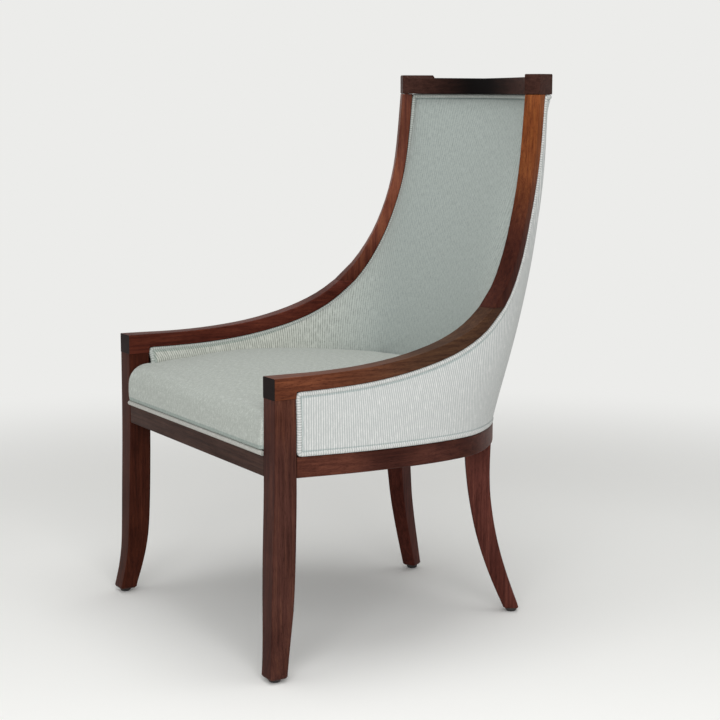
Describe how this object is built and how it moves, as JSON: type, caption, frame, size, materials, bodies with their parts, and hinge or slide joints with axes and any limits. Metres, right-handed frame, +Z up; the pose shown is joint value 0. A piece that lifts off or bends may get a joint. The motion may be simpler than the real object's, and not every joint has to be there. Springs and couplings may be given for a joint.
{
  "type": "klismos dining chair",
  "caption": "Klismos dining chair with splayed legs, stained-wood arms that sweep up into the back, a wrapped upholstered barrel back and a tight padded seat.",
  "frame": {"origin": "on the floor under the middle of the chair's bounding box", "axes": "+Z up, -Y the way the sitter faces, +X the sitter's left hand"},
  "size_m": [0.6696, 0.6768, 1.0025],
  "materials": {
    "show_wood": "satin mahogany stain",
    "dark_show_wood": "satin dark mahogany stain",
    "dowel_wood": "plain beech",
    "frame_board": "poplar board, stained dark where it meets the show wood",
    "inside_fabric": "pale sage ribbed weave",
    "outside_fabric": "off-white ribbed weave",
    "webbing": "jute webbing",
    "dust_cloth": "thin black cloth",
    "screw_steel": "plain steel",
    "glide_plastic": "dark nylon"
  },
  "bodies": {
    "root": {"front_leg_left": "show_wood", "front_leg_right": "show_wood", "rear_leg_left": "show_wood", "rear_leg_right": "show_wood", "arm_left": "show_wood", "arm_right": "show_wood", "stile_left": "show_wood", "stile_right": "show_wood", "crest_rail": "dark_show_wood", "front_rail": "show_wood", "side_rail_left": "show_wood", "side_rail_right": "show_wood", "rear_rail": "show_wood", "arm_dowel_left": "dowel_wood", "arm_dowel_right": "dowel_wood", "stile_dowel_left": "dowel_wood", "stile_dowel_right": "dowel_wood", "crest_dowel_left": "dowel_wood", "crest_dowel_right": "dowel_wood", "front_rail_dowel_left": "dowel_wood", "front_rail_dowel_right": "dowel_wood", "side_rail_dowel_left": "dowel_wood", "side_rail_dowel_right": "dowel_wood", "rear_leg_dowel_left": "dowel_wood", "rear_leg_dowel_right": "dowel_wood", "front_block_left": "dowel_wood", "front_block_right": "dowel_wood", "rear_block_left": "dowel_wood", "rear_block_right": "dowel_wood", "front_block_screw_left": "screw_steel", "front_block_screw_right": "screw_steel", "rear_block_screw_left": "screw_steel", "rear_block_screw_right": "screw_steel", "front_glide_left": "glide_plastic", "front_glide_right": "glide_plastic", "rear_glide_left": "glide_plastic", "rear_glide_right": "glide_plastic", "side_board_left": "frame_board", "side_board_right": "frame_board", "back_board": "frame_board", "inside_pad": "inside_fabric", "outside_cover_left": "outside_fabric", "outside_cover_right": "outside_fabric", "outside_back_cover": "outside_fabric", "inside_welt": "inside_fabric", "outside_welt": "outside_fabric", "rail_welt": "outside_fabric", "seat_cushion": "inside_fabric", "seat_welt": "outside_fabric", "long_strap_1": "webbing", "long_strap_2": "webbing", "long_strap_3": "webbing", "cross_strap_1": "webbing", "cross_strap_2": "webbing", "cross_strap_3": "webbing", "dust_cover": "dust_cloth"}
  },
  "joints": []
}
